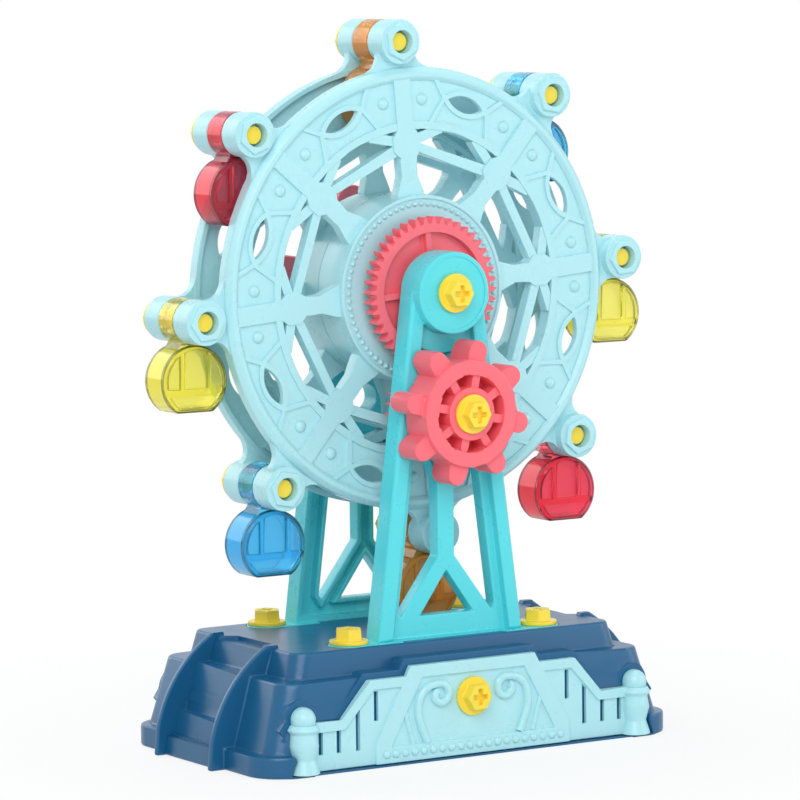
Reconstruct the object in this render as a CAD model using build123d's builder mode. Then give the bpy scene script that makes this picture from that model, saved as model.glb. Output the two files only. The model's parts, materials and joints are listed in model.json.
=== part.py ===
"""Hand-cranked ferris wheel toy.

Frame: origin at the centre of the base's underside, X to the right, the crank
knob in front on -Y, Z up.  Everything is in millimetres and degrees.

The wheel is two moulded lattice discs on a hexagonal axle between two towers.
A coral gear on the axle meshes with a smaller one on the crank shaft, and eight
two-part cabins hang on bolts between the discs.
"""
from build123d import *
import os
from math import asin, atan2, cos, degrees, hypot, pi, radians, sin, sqrt, tan

os.makedirs("parts", exist_ok=True)

# ---------------------------------------------------------------- driving sizes
axle_height = 185.1
wheel_turn = 4.8
cabin_count = 8
pivot_radius = 100.0

# clearances
running_fit = 0.06
thread_fit = 0.05
slip_fit = 0.10
seat_gap = 0.20
side_gap = 0.30

# bolts
shank_radius = 3.65
flange_radius = 7.85
flange_thick = 1.6
head_radius = 5.9
head_height = 4.6
cross_length = 6.6
cross_width = 1.9
cross_depth = 2.2
bolt_hole = shank_radius + slip_fit
thread_hole = shank_radius + thread_fit

# wheel disc, depths measured forward from the wheel's middle plane
ring_outer_radius = 89.5
ring_tube_width = 5.3
ring_back = 9.0
ring_front = 16.5
ring_chamfer = 2.2
ring_inner_chamfer = 1.4
band_front = 14.5
band_inner_radius = 64.6
inner_rib_width = 3.0
inner_rib_front = 15.4
disc_wall = 2.2
spoke_width = 7.6
spoke_back = 10.2
spoke_front = 15.7
flare_half = 6.2
flare_length = 8.0
spoke_root = 1.0
node_radius = 59.0
node_length = 11.0
node_width = 12.6
strut_width = 4.0
strut_front = 15.0
strut_angle = 15.0
eye_radius = 77.0
eye_length = 17.0
eye_height = 6.4
eye_lip = 2.1
eye_lip_rise = 0.9
brace_width = 1.8
brace_outer_spread = 16.7
brace_inner_spread = 14.0
brace_root = 0.6
lug_back = 9.5
lug_front = 13.2
lug_foot = 15.0
boss_radius = 9.0
boss_back = 5.85
boss_front = 17.25
boss_collar_radius = 7.7
boss_collar_rise = 1.5
boss_mouth_radius = 4.6
boss_mouth_depth = 6.0
drum_radius = 38.2
drum_wall = 2.2
drum_face = 17.6
drum_face_wall = 2.4
drum_rim_rise = 1.0
drum_rim_width = 1.6
hub_tube_radius = 9.6
gear_seat_radius = 12.0

# gears
gear_module = 1.3
gear_teeth = 44
pinion_teeth = 29
pressure_angle = 20.0
flank_relief = 0.14
gear_phase = 7.27
gear_back = 21.0
gear_thick = 5.9
gear_rim_inner = 23.5
gear_web_wall = 2.6
gear_rib_width = 2.6
gear_rib_drop = 0.9
gear_hub_radius = 10.0
pinion_face_gap = 0.4

# axle and crank shaft
hex_flat = 12.5
journal_radius = 6.0
end_flat = 10.2
end_length = 6.0

# towers
tower_back = 27.4
tower_ridge = 37.5
tower_web = 34.0
tower_pocket = 31.0
tower_wall = 2.0
tower_hollow = 4.4
tower_half_width = 34.4
ridge_width = 6.6
leg_width = 10.2
tower_boss_radius = 16.5
tower_boss_front = 42.0
boss_dish_radius = 14.6
boss_dish_depth = 0.4
post_half_width = 4.05
fork_height = 78.7
bar_top = 55.4
triangle_top = 72.8
triangle_half = 12.5
gap_top = 118.0
gap_shoulder = 109.5
pocket_bottom = 121.0
skirt_radius = 24.6
bearing_radius = 9.0
foot_radius = 8.6
foot_drop = 1.6
foot_thick = 1.9
foot_bolt_x = 45.3
foot_bolt_y = 32.0
foot_bolt_length = 16.0

# base
base_height = 46.5
flange_height = 8.6
middle_height = 36.0
flange_half_length = 98.0
flange_half_depth = 56.0
flange_corner = 15.0
middle_foot_length = 93.5
middle_foot_depth = 52.5
middle_half_length = 85.5
middle_half_depth = 49.5
middle_corner = 9.0
top_foot_length = 78.5
top_foot_depth = 43.5
top_half_length = 75.5
top_half_depth = 42.0
top_corner = 7.0
base_wall = 2.5
tier_round = 1.4
stair_half_width = 20.0
stair_rail = 3.0
step_count = 5
first_tread = 8.0
riser_lean = 2.25
stair_foot = 100.5
first_nose = 0.6
landing_nose = 1.4
landing_drop = 1.7
landing_inner = 69.5
landing_half = 14.0
rail_foot = 104.4
rail_knee = 11.0
rail_rise = 1.2
rail_bow = 4.7
socket_radius = 6.6
socket_depth = 20.0

# fence
fence_back = 50.5
fence_floor = 52.4
fence_rim = 53.6
fence_gap = 0.3
seat_border = 2.6
lip_front = 54.6
fence_bottom = 1.0
panel_foot = 46.2
panel_knee = 9.3
panel_top_half = 29.5
panel_top = 39.1
panel_side = 5.2
panel_head = 5.0
panel_sill = 7.6
rail_low = 20.7
rail_high = 35.1
rail_drop = 4.0
rail_low_end = 61.6
rail_high_end = 49.0
slot_width = 2.0
slot_bottom = 7.5
post_x = 79.0
post_radius = 6.0
ball_radius = 4.9
ball_height = 22.4
fence_bolt_z = 24.3
fence_bolt_length = 14.0

# crank knob
knob_back = 38.0
knob_lobe_front = 51.5
knob_front = 54.0
knob_core_radius = 21.5
knob_tip_radius = 29.3
knob_lobe_width = 8.6
knob_lobes = 8
knob_phase = -12.0
knob_slot_outer = 15.5
knob_slot_inner = 10.6
knob_spoke = 3.4
knob_spoke_drop = 1.2
knob_slot_depth = 10.0
bolt_seat = 53.8

# rear hand wheel
hand_wheel_radius = 40.0
hand_wheel_back = 42.3
hand_wheel_rim = 50.0
hand_wheel_arm = 15.0
hand_wheel_core = 15.0
hand_wheel_phase = 81.0

# cabins
hanger_radius = 9.0
hanger_half = 5.55
cabin_radius = 14.5
cabin_drop = 23.8
cabin_floor = 36.0
cabin_half_depth = 8.5
cabin_wall = 1.6
cover_thick = 2.8
cover_lip = 1.2
rim_chamfer = 1.2
neck_half = 4.6
neck_waist = 8.0
neck_foot = 7.0
neck_root = 2.6
window_depth = 1.6
window_frame = 1.8
mullion_x = 6.1
mullion_width = 1.8
sill_drop = 4.05
sill_height = 2.7

# ---------------------------------------------------------------- worked out
sector = 360 / cabin_count
gear_pitch_radius = gear_module * gear_teeth / 2
pinion_pitch_radius = gear_module * pinion_teeth / 2
knob_height = axle_height - gear_pitch_radius - pinion_pitch_radius
gear_front = gear_back + gear_thick
foot_bottom = base_height - foot_drop
foot_top = foot_bottom + foot_thick
dish_floor = tower_boss_front - boss_dish_depth
journal_end = dish_floor + side_gap
leg_lean = atan2(axle_height - base_height, tower_half_width)
leg_reach = hypot(tower_half_width, axle_height - base_height)
landing_height = base_height - landing_drop
step_rise = (landing_height - first_tread) / (step_count - 1)
step_run = (stair_foot - first_nose - top_half_length - landing_nose) / (step_count - 1)


def facing(depth, height=axle_height):
    """Plane that looks at the viewer, depth millimetres in front of the wheel's middle."""
    return Plane(origin=(0, -depth, height), x_dir=(1, 0, 0), z_dir=(0, -1, 0))


def ring_plane(height=axle_height):
    """Half plane for turned shapes: local x is the radius, local y the depth forward."""
    return Plane(origin=(0, 0, height), x_dir=(1, 0, 0), z_dir=(0, 0, -1))


def spin_axis(height=axle_height):
    return Axis((0, 0, height), (0, 1, 0))


def bolt(shank_length):
    """Flanged hexagon bolt with a cross recess, seat at the origin, head along +Z."""
    with BuildPart() as made:
        with BuildSketch(Plane.XY):
            Circle(shank_radius)
        extrude(amount=-shank_length)
        with BuildSketch(Plane.XY):
            Circle(flange_radius)
        extrude(amount=flange_thick)
        with BuildSketch(Plane.XY.offset(flange_thick)):
            RegularPolygon(head_radius, 6)
        extrude(amount=head_height, taper=3)
        with BuildSketch(Plane.XY.offset(flange_thick + head_height)):
            Rectangle(cross_length, cross_width)
            Rectangle(cross_width, cross_length)
        extrude(amount=-cross_depth, mode=Mode.SUBTRACT)
    return made.part


def tooth(teeth, relief):
    """Outline points of one involute tooth, centred on local +X."""
    pitch = gear_module * teeth / 2
    base = pitch * cos(radians(pressure_angle))
    root = pitch - 1.25 * gear_module
    tip = pitch + gear_module

    def half_angle(radius):
        """Half the tooth's angle at a radius, from the involute of the base circle."""
        turn = sqrt(max((radius / base) ** 2 - 1, 0))
        at_pitch = tan(radians(pressure_angle)) - radians(pressure_angle)
        return pi / (2 * teeth) - relief / pitch + at_pitch - (turn - atan2(turn, 1))

    radii = (root - 0.4, root, pitch, tip)
    right = [(r * cos(half_angle(r)), -r * sin(half_angle(r))) for r in radii]
    left = [(x, -y) for x, y in reversed(right)]
    return right + left


def toothed_disc(teeth, phase):
    """Sketch of a spur gear with a tooth centred at the phase angle."""
    root = gear_module * (teeth / 2 - 1.25)
    outline = tooth(teeth, flank_relief)
    with BuildSketch() as made:
        Circle(root)
        with PolarLocations(0, teeth, start_angle=phase):
            Polygon(*outline, align=None)
    return made.sketch


def lug_outline():
    """Plate that carries a boss, its origin at the boss and the wheel's centre on -X."""
    root = ring_outer_radius - 1.2 - pivot_radius
    neck_x = -boss_radius * 0.25
    neck_y = boss_radius * 0.96
    with BuildSketch() as made:
        with BuildLine():
            ThreePointArc((neck_x, neck_y), (root * 0.68, boss_radius + 0.6), (root, lug_foot))
            ThreePointArc((root, lug_foot), (root + 1.1, 0), (root, -lug_foot))
            ThreePointArc((root, -lug_foot), (root * 0.68, -boss_radius - 0.6), (neck_x, -neck_y))
            Line((neck_x, -neck_y), (neck_x, neck_y))
        make_face()
    return made.sketch


def eye_outline(border=0.0):
    """Pointed oval window in the band; an even border reaches further at its pointed ends."""
    tip = eye_length / 2 + 1.5 * border
    side = eye_height / 2 + border
    with BuildSketch() as made:
        with BuildLine():
            ThreePointArc((0, -tip), (side, 0), (0, tip))
            ThreePointArc((0, tip), (-side, 0), (0, -tip))
        make_face()
    return made.sketch


def straight_rib(start, end, width):
    """Sketch of a straight rib between two points."""
    run_x = end[0] - start[0]
    run_y = end[1] - start[1]
    middle = ((start[0] + end[0]) / 2, (start[1] + end[1]) / 2)
    with BuildSketch() as made:
        with Locations(Location(middle, degrees(atan2(run_y, run_x)))):
            Rectangle(hypot(run_x, run_y), width)
    return made.sketch


# ================================================================ wheel discs
with BuildPart() as front_wheel:
    # rim: a rounded tube, a recessed band and a raised inner rib, open at the back
    ring_tube_inner = ring_outer_radius - ring_tube_width
    band_back = band_front - disc_wall
    with BuildSketch(ring_plane()) as rim_section:
        with BuildLine():
            Polyline(
                (ring_outer_radius, ring_back),
                (ring_outer_radius, ring_front),
                (ring_tube_inner, ring_front),
                (ring_tube_inner, band_front),
                (band_inner_radius + inner_rib_width, band_front),
                (band_inner_radius + inner_rib_width, inner_rib_front),
                (band_inner_radius, inner_rib_front),
                (band_inner_radius, ring_back),
                (band_inner_radius + disc_wall, ring_back),
                (band_inner_radius + disc_wall, band_back),
                (ring_outer_radius - disc_wall, band_back),
                (ring_outer_radius - disc_wall, ring_back),
                close=True,
            )
        make_face()
        chamfer(rim_section.vertices().group_by(Axis.Y)[-1].sort_by(Axis.X)[-1], ring_chamfer)
        chamfer(rim_section.vertices().group_by(Axis.Y)[-1].sort_by(Axis.X)[0], ring_inner_chamfer)
    revolve(axis=spin_axis())

    # drum: half of the hub's case, its face and raised edge, and the tube on the axle
    drum_inner = drum_radius - drum_wall
    with BuildSketch(ring_plane()):
        with BuildLine():
            Polyline(
                (0, 0),
                (hub_tube_radius, 0),
                (hub_tube_radius, drum_face - drum_face_wall),
                (drum_inner, drum_face - drum_face_wall),
                (drum_inner, 0),
                (drum_radius, 0),
                (drum_radius, drum_face + drum_rim_rise),
                (drum_radius - drum_rim_width, drum_face + drum_rim_rise),
                (drum_radius - drum_rim_width, drum_face),
                (gear_seat_radius, drum_face),
                (gear_seat_radius, gear_back - seat_gap),
                (0, gear_back - seat_gap),
                close=True,
            )
        make_face()
    revolve(axis=spin_axis())

    # spokes from the hub to the rim's tube, each with a six-sided node where the struts meet
    spoke_inner = drum_radius - spoke_root
    spoke_outer = ring_tube_inner + spoke_root
    with BuildSketch(facing(spoke_back)):
        with PolarLocations((spoke_inner + spoke_outer) / 2, cabin_count, start_angle=wheel_turn):
            Rectangle(spoke_outer - spoke_inner, spoke_width)
        with PolarLocations(node_radius, cabin_count, start_angle=wheel_turn):
            Polygon(
                (-node_length, 0),
                (-node_length / 4, -node_width / 2),
                (node_length / 4, -node_width / 2),
                (node_length, 0),
                (node_length / 4, node_width / 2),
                (-node_length / 4, node_width / 2),
                align=None,
            )
        with PolarLocations(drum_radius, cabin_count, start_angle=wheel_turn):
            Polygon(
                (-spoke_root, -flare_half),
                (spoke_root, -flare_half),
                (flare_length, -spoke_width / 2),
                (flare_length, spoke_width / 2),
                (spoke_root, flare_half),
                (-spoke_root, flare_half),
                align=None,
            )
    extrude(amount=spoke_front - spoke_back)

    # straight struts from node to node, and short ones from each node to the band
    chord = 2 * node_radius * sin(radians(sector / 2))
    reach_x = (band_inner_radius + 1) * cos(radians(strut_angle)) - node_radius
    reach_y = (band_inner_radius + 1) * sin(radians(strut_angle))
    with BuildSketch(facing(spoke_back)):
        with PolarLocations(
            node_radius * cos(radians(sector / 2)), cabin_count, start_angle=wheel_turn + sector / 2
        ):
            Rectangle(strut_width, chord)
        for side in (-1, 1):
            with PolarLocations(node_radius, cabin_count, start_angle=wheel_turn):
                with Locations(
                    Location((reach_x / 2, side * reach_y / 2), side * degrees(atan2(reach_y, reach_x)))
                ):
                    Rectangle(hypot(reach_x, reach_y), strut_width)
    extrude(amount=strut_front - spoke_back)

    # flared lugs out to the cabin bosses
    with BuildSketch(facing(lug_back)):
        with PolarLocations(pivot_radius, cabin_count, start_angle=wheel_turn):
            add(lug_outline())
    extrude(amount=lug_front - lug_back)

    # bosses that hold the cabin bolts, each with a six-sided collar in front
    with BuildSketch(facing(boss_back)):
        with PolarLocations(pivot_radius, cabin_count, start_angle=wheel_turn):
            Circle(boss_radius)
    extrude(amount=boss_front - boss_back)
    with BuildSketch(facing(boss_front)):
        with PolarLocations(pivot_radius, cabin_count, start_angle=wheel_turn):
            RegularPolygon(boss_collar_radius, 6)
    extrude(amount=boss_collar_rise)
    with BuildSketch(facing(boss_back)):
        with PolarLocations(pivot_radius, cabin_count, start_angle=wheel_turn):
            Circle(thread_hole)
    extrude(amount=boss_front + boss_collar_rise - boss_back, mode=Mode.SUBTRACT)
    with BuildSketch(facing(boss_front + boss_collar_rise)):
        with PolarLocations(pivot_radius, cabin_count, start_angle=wheel_turn):
            Circle(boss_mouth_radius)
    extrude(amount=-boss_mouth_depth, mode=Mode.SUBTRACT)

    # eye-shaped windows with a raised lip in the middle of each sector
    with BuildSketch(facing(band_back)):
        with PolarLocations(eye_radius, cabin_count, start_angle=wheel_turn + sector / 2):
            add(eye_outline(eye_lip))
    extrude(amount=band_front + eye_lip_rise - band_back)

    # a pair of ribs spreads from each end of an eye to the rim's tube and to the inner rib
    brace_tip = eye_length / 2 + eye_lip
    tube_end = sqrt((ring_tube_inner + brace_root) ** 2 - brace_outer_spread**2) - eye_radius
    rib_edge = band_inner_radius + inner_rib_width
    rib_end = sqrt((rib_edge - brace_root) ** 2 - brace_inner_spread**2) - eye_radius
    with BuildSketch(facing(band_back)):
        with PolarLocations(eye_radius, cabin_count, start_angle=wheel_turn + sector / 2):
            for side in (-1, 1):
                add(straight_rib((0, side * brace_tip), (tube_end, side * brace_outer_spread), brace_width))
                add(straight_rib((0, side * brace_tip), (rib_end, side * brace_inner_spread), brace_width))
    extrude(amount=band_front + eye_lip_rise - band_back)
    with BuildSketch(facing(band_back)):
        with PolarLocations(eye_radius, cabin_count, start_angle=wheel_turn + sector / 2):
            add(eye_outline())
    extrude(amount=band_front + eye_lip_rise - band_back, mode=Mode.SUBTRACT)

    # six-sided hole for the axle
    with BuildSketch(facing(0)):
        RegularPolygon(hex_flat / 2 + slip_fit, 6, major_radius=False, rotation=wheel_turn)
    extrude(amount=gear_back + 1, mode=Mode.SUBTRACT)
front_wheel.part.label = "front_wheel"
export_step(front_wheel.part, "parts/front_wheel.step")

with BuildPart() as rear_wheel:
    mirror(front_wheel.part, about=Plane.XZ)
rear_wheel.part.label = "rear_wheel"
export_step(rear_wheel.part, "parts/rear_wheel.step")

# ================================================================ drive gear
with BuildPart() as drive_gear:
    with BuildSketch(facing(gear_back)):
        add(toothed_disc(gear_teeth, gear_phase))
    extrude(amount=gear_thick)
    with BuildSketch(facing(gear_back + gear_web_wall)):
        Circle(gear_rim_inner)
        Circle(gear_hub_radius, mode=Mode.SUBTRACT)
    extrude(amount=gear_thick, mode=Mode.SUBTRACT)
    with BuildSketch(facing(gear_back + gear_web_wall)):
        for turn in (0, 90):
            with Locations(Location((0, 0), wheel_turn + turn)):
                Rectangle(2 * gear_rim_inner + 1, gear_rib_width)
        Circle(gear_hub_radius - 1, mode=Mode.SUBTRACT)
    extrude(amount=gear_thick - gear_web_wall - gear_rib_drop)
    with BuildSketch(facing(gear_back)):
        RegularPolygon(hex_flat / 2 + slip_fit, 6, major_radius=False, rotation=wheel_turn)
    extrude(amount=gear_thick, mode=Mode.SUBTRACT)
drive_gear.part.label = "drive_gear"
export_step(drive_gear.part, "parts/drive_gear.step")

# ================================================================ axle
with BuildPart() as axle:
    with BuildSketch(facing(-gear_front)):
        RegularPolygon(hex_flat / 2, 6, major_radius=False, rotation=wheel_turn)
    extrude(amount=2 * gear_front)
    with BuildSketch(facing(-journal_end)):
        Circle(journal_radius)
    extrude(amount=2 * journal_end)
    # six-sided rear end that drives the rear hand wheel
    with BuildSketch(facing(-journal_end - end_length)):
        RegularPolygon(end_flat / 2, 6, major_radius=False, rotation=wheel_turn)
    extrude(amount=end_length)
    with BuildSketch(facing(journal_end)):
        Circle(thread_hole)
    extrude(amount=-socket_depth, mode=Mode.SUBTRACT)
    with BuildSketch(facing(-journal_end - end_length)):
        Circle(thread_hole)
    extrude(amount=socket_depth, mode=Mode.SUBTRACT)
axle.part.label = "axle"
export_step(axle.part, "parts/axle.step")

# ================================================================ crank shaft
mesh_step = gear_phase + 90
pinion_phase = 90 + 180 / pinion_teeth - mesh_step * gear_teeth / pinion_teeth
with BuildPart() as crank_shaft:
    with BuildSketch(facing(gear_back, knob_height)):
        add(toothed_disc(pinion_teeth, pinion_phase))
    extrude(amount=gear_thick - pinion_face_gap + 0.2)
    with BuildSketch(facing(gear_back, knob_height)):
        Circle(journal_radius)
    extrude(amount=knob_back - gear_back)
    with BuildSketch(facing(knob_back, knob_height)):
        RegularPolygon(end_flat / 2, 6, major_radius=False)
    extrude(amount=end_length)
    with BuildSketch(facing(knob_back + end_length, knob_height)):
        Circle(thread_hole)
    extrude(amount=-socket_depth, mode=Mode.SUBTRACT)
crank_shaft.part.label = "crank_shaft"
export_step(crank_shaft.part, "parts/crank_shaft.step")

# ================================================================ crank knob
with BuildPart() as crank_knob:
    with BuildSketch(facing(knob_back, knob_height)):
        Circle(knob_core_radius)
        with PolarLocations(0, knob_lobes, start_angle=knob_phase):
            with Locations((knob_tip_radius / 2, 0)):
                SlotOverall(knob_tip_radius, knob_lobe_width)
    extrude(amount=knob_lobe_front - knob_back)
    with BuildSketch(facing(knob_lobe_front, knob_height)):
        Circle(knob_core_radius)
    extrude(amount=knob_front - knob_lobe_front)
    with BuildSketch(facing(knob_front, knob_height)):
        Circle(knob_slot_outer)
        Circle(knob_slot_inner, mode=Mode.SUBTRACT)
        with PolarLocations(0, knob_lobes, start_angle=knob_phase):
            with Locations((knob_slot_outer / 2 + 1, 0)):
                Rectangle(knob_slot_outer + 2, knob_spoke, mode=Mode.SUBTRACT)
    extrude(amount=-knob_slot_depth, mode=Mode.SUBTRACT)
    with BuildSketch(facing(knob_front, knob_height)):
        Circle(knob_slot_outer)
        Circle(knob_slot_inner, mode=Mode.SUBTRACT)
    extrude(amount=-knob_spoke_drop, mode=Mode.SUBTRACT)
    with BuildSketch(facing(knob_front, knob_height)):
        Circle(flange_radius + seat_gap)
    extrude(amount=bolt_seat - knob_front, mode=Mode.SUBTRACT)
    with BuildSketch(facing(bolt_seat, knob_height)):
        Circle(bolt_hole)
    extrude(amount=knob_back - bolt_seat, mode=Mode.SUBTRACT)
    with BuildSketch(facing(knob_back, knob_height)):
        RegularPolygon(end_flat / 2 + slip_fit, 6, major_radius=False)
    extrude(amount=end_length + slip_fit, mode=Mode.SUBTRACT)
crank_knob.part.label = "crank_knob"
export_step(crank_knob.part, "parts/crank_knob.step")

# ================================================================ rear hand wheel
with BuildPart() as rear_hand_wheel:
    with BuildSketch(facing(-hand_wheel_back)):
        Circle(hand_wheel_core)
        for turn in (0, 90):
            with Locations(Location((0, 0), hand_wheel_phase + turn)):
                SlotOverall(2 * hand_wheel_radius, hand_wheel_arm)
    extrude(amount=hand_wheel_back - hand_wheel_rim)
    with BuildSketch(facing(-hand_wheel_rim)):
        Circle(hand_wheel_core)
    extrude(amount=hand_wheel_rim - bolt_seat)
    with BuildSketch(facing(-bolt_seat)):
        Circle(bolt_hole)
    extrude(amount=bolt_seat - hand_wheel_back, mode=Mode.SUBTRACT)
    with BuildSketch(facing(-hand_wheel_back)):
        RegularPolygon(end_flat / 2 + slip_fit, 6, major_radius=False, rotation=wheel_turn)
    extrude(amount=hand_wheel_back - journal_end - end_length - slip_fit, mode=Mode.SUBTRACT)
rear_hand_wheel.part.label = "rear_hand_wheel"
export_step(rear_hand_wheel.part, "parts/rear_hand_wheel.step")

# ================================================================ towers
tangent_length = sqrt(leg_reach**2 - tower_boss_radius**2)
tangent_angle = pi - leg_lean - asin(tower_boss_radius / leg_reach)
tangent_x = tower_half_width + tangent_length * cos(tangent_angle)
tangent_y = base_height - axle_height + tangent_length * sin(tangent_angle)
lean = -cos(tangent_angle) / sin(tangent_angle)


def leg_edge(height, inset=0.0):
    """Half width of the tower at a height, less an inset."""
    return tower_half_width - lean * (height - base_height) - inset


def up(x, height):
    """Point on a tower sketch, whose origin is the axle."""
    return (x, height - axle_height)


with BuildSketch() as tower_outline:
    with BuildLine():
        Polyline(
            (-tangent_x, tangent_y),
            up(-tower_half_width, base_height),
            up(tower_half_width, base_height),
            (tangent_x, tangent_y),
        )
        ThreePointArc((tangent_x, tangent_y), (0, tower_boss_radius), (-tangent_x, tangent_y))
    make_face()

with BuildSketch() as tower_gaps:
    with BuildLine():
        Polyline(
            up(post_half_width, fork_height),
            up(leg_edge(bar_top, leg_width + 1.6), bar_top),
            up(leg_edge(bar_top + 2, leg_width), bar_top + 2),
            up(leg_edge(gap_top, leg_width), gap_top),
            up(post_half_width + 3.9, gap_top),
            up(post_half_width, gap_shoulder),
            close=True,
        )
    make_face()
    mirror(about=Plane.YZ)
    with BuildLine():
        Polyline(
            up(0, triangle_top),
            up(triangle_half, bar_top),
            up(-triangle_half, bar_top),
            close=True,
        )
    make_face()

with BuildSketch() as tower_panel:
    with BuildLine():
        Polyline(
            up(leg_edge(base_height - 1, ridge_width), base_height - 1),
            up(leg_edge(axle_height, ridge_width), axle_height),
            up(-leg_edge(axle_height, ridge_width), axle_height),
            up(-leg_edge(base_height - 1, ridge_width), base_height - 1),
            close=True,
        )
    make_face()

with BuildSketch() as tower_pocket_outline:
    with BuildLine():
        Polyline(
            up(leg_edge(pocket_bottom, ridge_width), pocket_bottom),
            up(leg_edge(axle_height, ridge_width), axle_height),
            up(-leg_edge(axle_height, ridge_width), axle_height),
            up(-leg_edge(pocket_bottom, ridge_width), pocket_bottom),
            close=True,
        )
    make_face()
    Circle(skirt_radius, mode=Mode.SUBTRACT)

with BuildSketch() as tower_hollows:
    add(tower_outline.sketch)
    add(tower_gaps.sketch, mode=Mode.SUBTRACT)
    with BuildLine():
        Polyline(
            up(leg_edge(gap_top, ridge_width), gap_top),
            up(leg_edge(axle_height, ridge_width), axle_height),
            up(-leg_edge(axle_height, ridge_width), axle_height),
            up(-leg_edge(gap_top, ridge_width), gap_top),
            close=True,
        )
    make_face(mode=Mode.SUBTRACT)
    Circle(tower_boss_radius + 0.5, mode=Mode.SUBTRACT)
    offset(amount=-tower_wall, kind=Kind.INTERSECTION, mode=Mode.REPLACE)

with BuildPart() as front_tower:
    with BuildSketch(facing(tower_back)):
        add(tower_outline.sketch)
    extrude(amount=tower_ridge - tower_back)
    fillet(front_tower.faces().sort_by(Axis.Y)[0].edges(), 1.8)
    with BuildSketch(facing(tower_web)):
        add(tower_panel.sketch)
    extrude(amount=tower_ridge, mode=Mode.SUBTRACT)
    with BuildSketch(facing(tower_back - 1)):
        add(tower_gaps.sketch)
    extrude(amount=tower_ridge, mode=Mode.SUBTRACT)
    with BuildSketch(facing(tower_pocket)):
        add(tower_pocket_outline.sketch)
    extrude(amount=tower_ridge, mode=Mode.SUBTRACT)
    with BuildSketch(facing(tower_back)):
        add(tower_hollows.sketch)
    extrude(amount=tower_hollow, mode=Mode.SUBTRACT)

    # bearing boss for the axle, with a shallow dish for the bolt's flange
    with BuildSketch(facing(tower_back)):
        Circle(tower_boss_radius)
    extrude(amount=tower_boss_front - tower_back)
    with BuildSketch(facing(tower_boss_front)):
        Circle(boss_dish_radius)
    extrude(amount=-boss_dish_depth, mode=Mode.SUBTRACT)
    with BuildSketch(facing(tower_back)):
        Circle(journal_radius + running_fit)
    extrude(amount=tower_boss_front, mode=Mode.SUBTRACT)

    # bearing boss for the crank shaft
    with BuildSketch(facing(tower_back, knob_height)):
        Circle(bearing_radius)
    extrude(amount=knob_back - side_gap - tower_back)
    with BuildSketch(facing(tower_back, knob_height)):
        Circle(journal_radius + running_fit)
    extrude(amount=knob_back, mode=Mode.SUBTRACT)

    # foot let into the base, with an ear for each bolt
    with BuildSketch(Plane.XY.offset(foot_bottom)):
        with Locations((0, -(tower_back + tower_ridge) / 2)):
            Rectangle(2 * tower_half_width, tower_ridge - tower_back)
        with Locations((0, -foot_bolt_y)):
            SlotCenterToCenter(2 * foot_bolt_x, 2 * foot_radius)
            Rectangle(2 * (tower_half_width - leg_width), 4 * foot_radius, mode=Mode.SUBTRACT)
        with Locations((0, -(tower_back + tower_ridge) / 2)):
            Rectangle(2 * tower_half_width, tower_ridge - tower_back)
    extrude(amount=foot_thick)
    with BuildSketch(Plane.XY.offset(foot_bottom)):
        with Locations((-foot_bolt_x, -foot_bolt_y), (foot_bolt_x, -foot_bolt_y)):
            Circle(bolt_hole)
    extrude(amount=foot_thick, mode=Mode.SUBTRACT)
front_tower.part.label = "front_tower"
export_step(front_tower.part, "parts/front_tower.step")

with BuildPart() as rear_tower:
    mirror(front_tower.part, about=Plane.XZ)
rear_tower.part.label = "rear_tower"
export_step(rear_tower.part, "parts/rear_tower.step")

# ================================================================ fence
slots = (
    (71.2, slot_bottom, 16.4, 16.4),
    (62.9, slot_bottom, 16.8, 16.8),
    (54.0, slot_bottom, 24.0, 22.0),
    (45.5, 18.5, 30.4, 30.4),
)


def fence_outline():
    """Half outline of the fence, mirrored: rails, panel and posts without their balls."""
    with BuildSketch() as made:
        with BuildLine():
            Polyline(
                (0, fence_bottom),
                (post_x, fence_bottom),
                (post_x, rail_low),
                (rail_low_end, rail_low),
                (rail_high_end, rail_high),
                (panel_top_half + 2, rail_high),
                (panel_top_half, panel_top),
                (0, panel_top),
                close=True,
            )
        make_face()
        mirror(about=Plane.YZ)
        with Locations((post_x, 0), (-post_x, 0)):
            Polygon(
                (-6.5, fence_bottom),
                (6.5, fence_bottom),
                (4.7, 6.6),
                (6.0, 12.0),
                (5.2, 16.8),
                (6.6, 18.4),
                (5.2, 20.4),
                (-5.2, 20.4),
                (-6.6, 18.4),
                (-5.2, 16.8),
                (-6.0, 12.0),
                (-4.7, 6.6),
                align=None,
            )
        with Locations((post_x, ball_height), (-post_x, ball_height)):
            Circle(ball_radius)
    return made.sketch


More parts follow.
